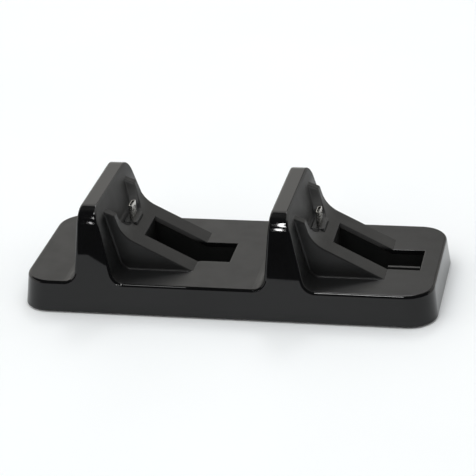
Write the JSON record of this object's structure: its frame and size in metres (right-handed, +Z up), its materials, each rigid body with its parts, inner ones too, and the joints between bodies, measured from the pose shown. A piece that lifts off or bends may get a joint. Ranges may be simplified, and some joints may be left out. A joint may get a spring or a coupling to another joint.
{
  "type": "controller charging dock",
  "caption": "Long low black charging dock with tall leaning backrests, sloping wedge rests with open slots, and upright steel charging plugs for game controllers.",
  "frame": {"origin": "on the table, under the middle of the base", "axes": "+X along the dock to the right in the picture, +Y from the front to the rear, +Z up"},
  "size_m": [0.2, 0.08, 0.0505],
  "materials": {
    "housing_black": "glossy moulded black",
    "cover_black": "fine spark-eroded texture",
    "well_black": "satin moulded black",
    "holder_black": "satin moulded black",
    "foot_rubber": "matt rubber",
    "screw_steel": "black zinc plated steel",
    "plug_steel": "bright nickel plated steel",
    "tongue_black": "moulded black",
    "contact_gold": "gold plated",
    "board_green": "solder mask on glass laminate",
    "capacitor_can": "drawn can",
    "chip_black": "moulded package",
    "header_white": "natural moulded plastic",
    "wire_sleeve": "flexible sleeve"
  },
  "bodies": {
    "root": {"board_screws": "screw_steel", "bottom_cover": "cover_black", "capacitor": "capacitor_can", "charge_chip_left": "chip_black", "charge_chip_right": "chip_black", "cover_screws": "screw_steel", "foot_front_left": "foot_rubber", "foot_front_right": "foot_rubber", "foot_rear_left": "foot_rubber", "foot_rear_right": "foot_rubber", "inlet_contacts": "contact_gold", "inlet_shell": "plug_steel", "inlet_tongue": "tongue_black", "main_board": "board_green", "plug_board_left": "board_green", "plug_board_right": "board_green", "plug_board_screws_left": "screw_steel", "plug_board_screws_right": "screw_steel", "plug_contacts_left": "contact_gold", "plug_contacts_right": "contact_gold", "plug_holder_left": "holder_black", "plug_holder_right": "holder_black", "plug_shell_left": "plug_steel", "plug_shell_right": "plug_steel", "plug_tongue_left": "tongue_black", "plug_tongue_right": "tongue_black", "plug_wires_left": "wire_sleeve", "plug_wires_right": "wire_sleeve", "slot_well_left": "well_black", "slot_well_right": "well_black", "top_housing": "housing_black", "wire_header_left": "header_white", "wire_header_right": "header_white"}
  },
  "joints": []
}
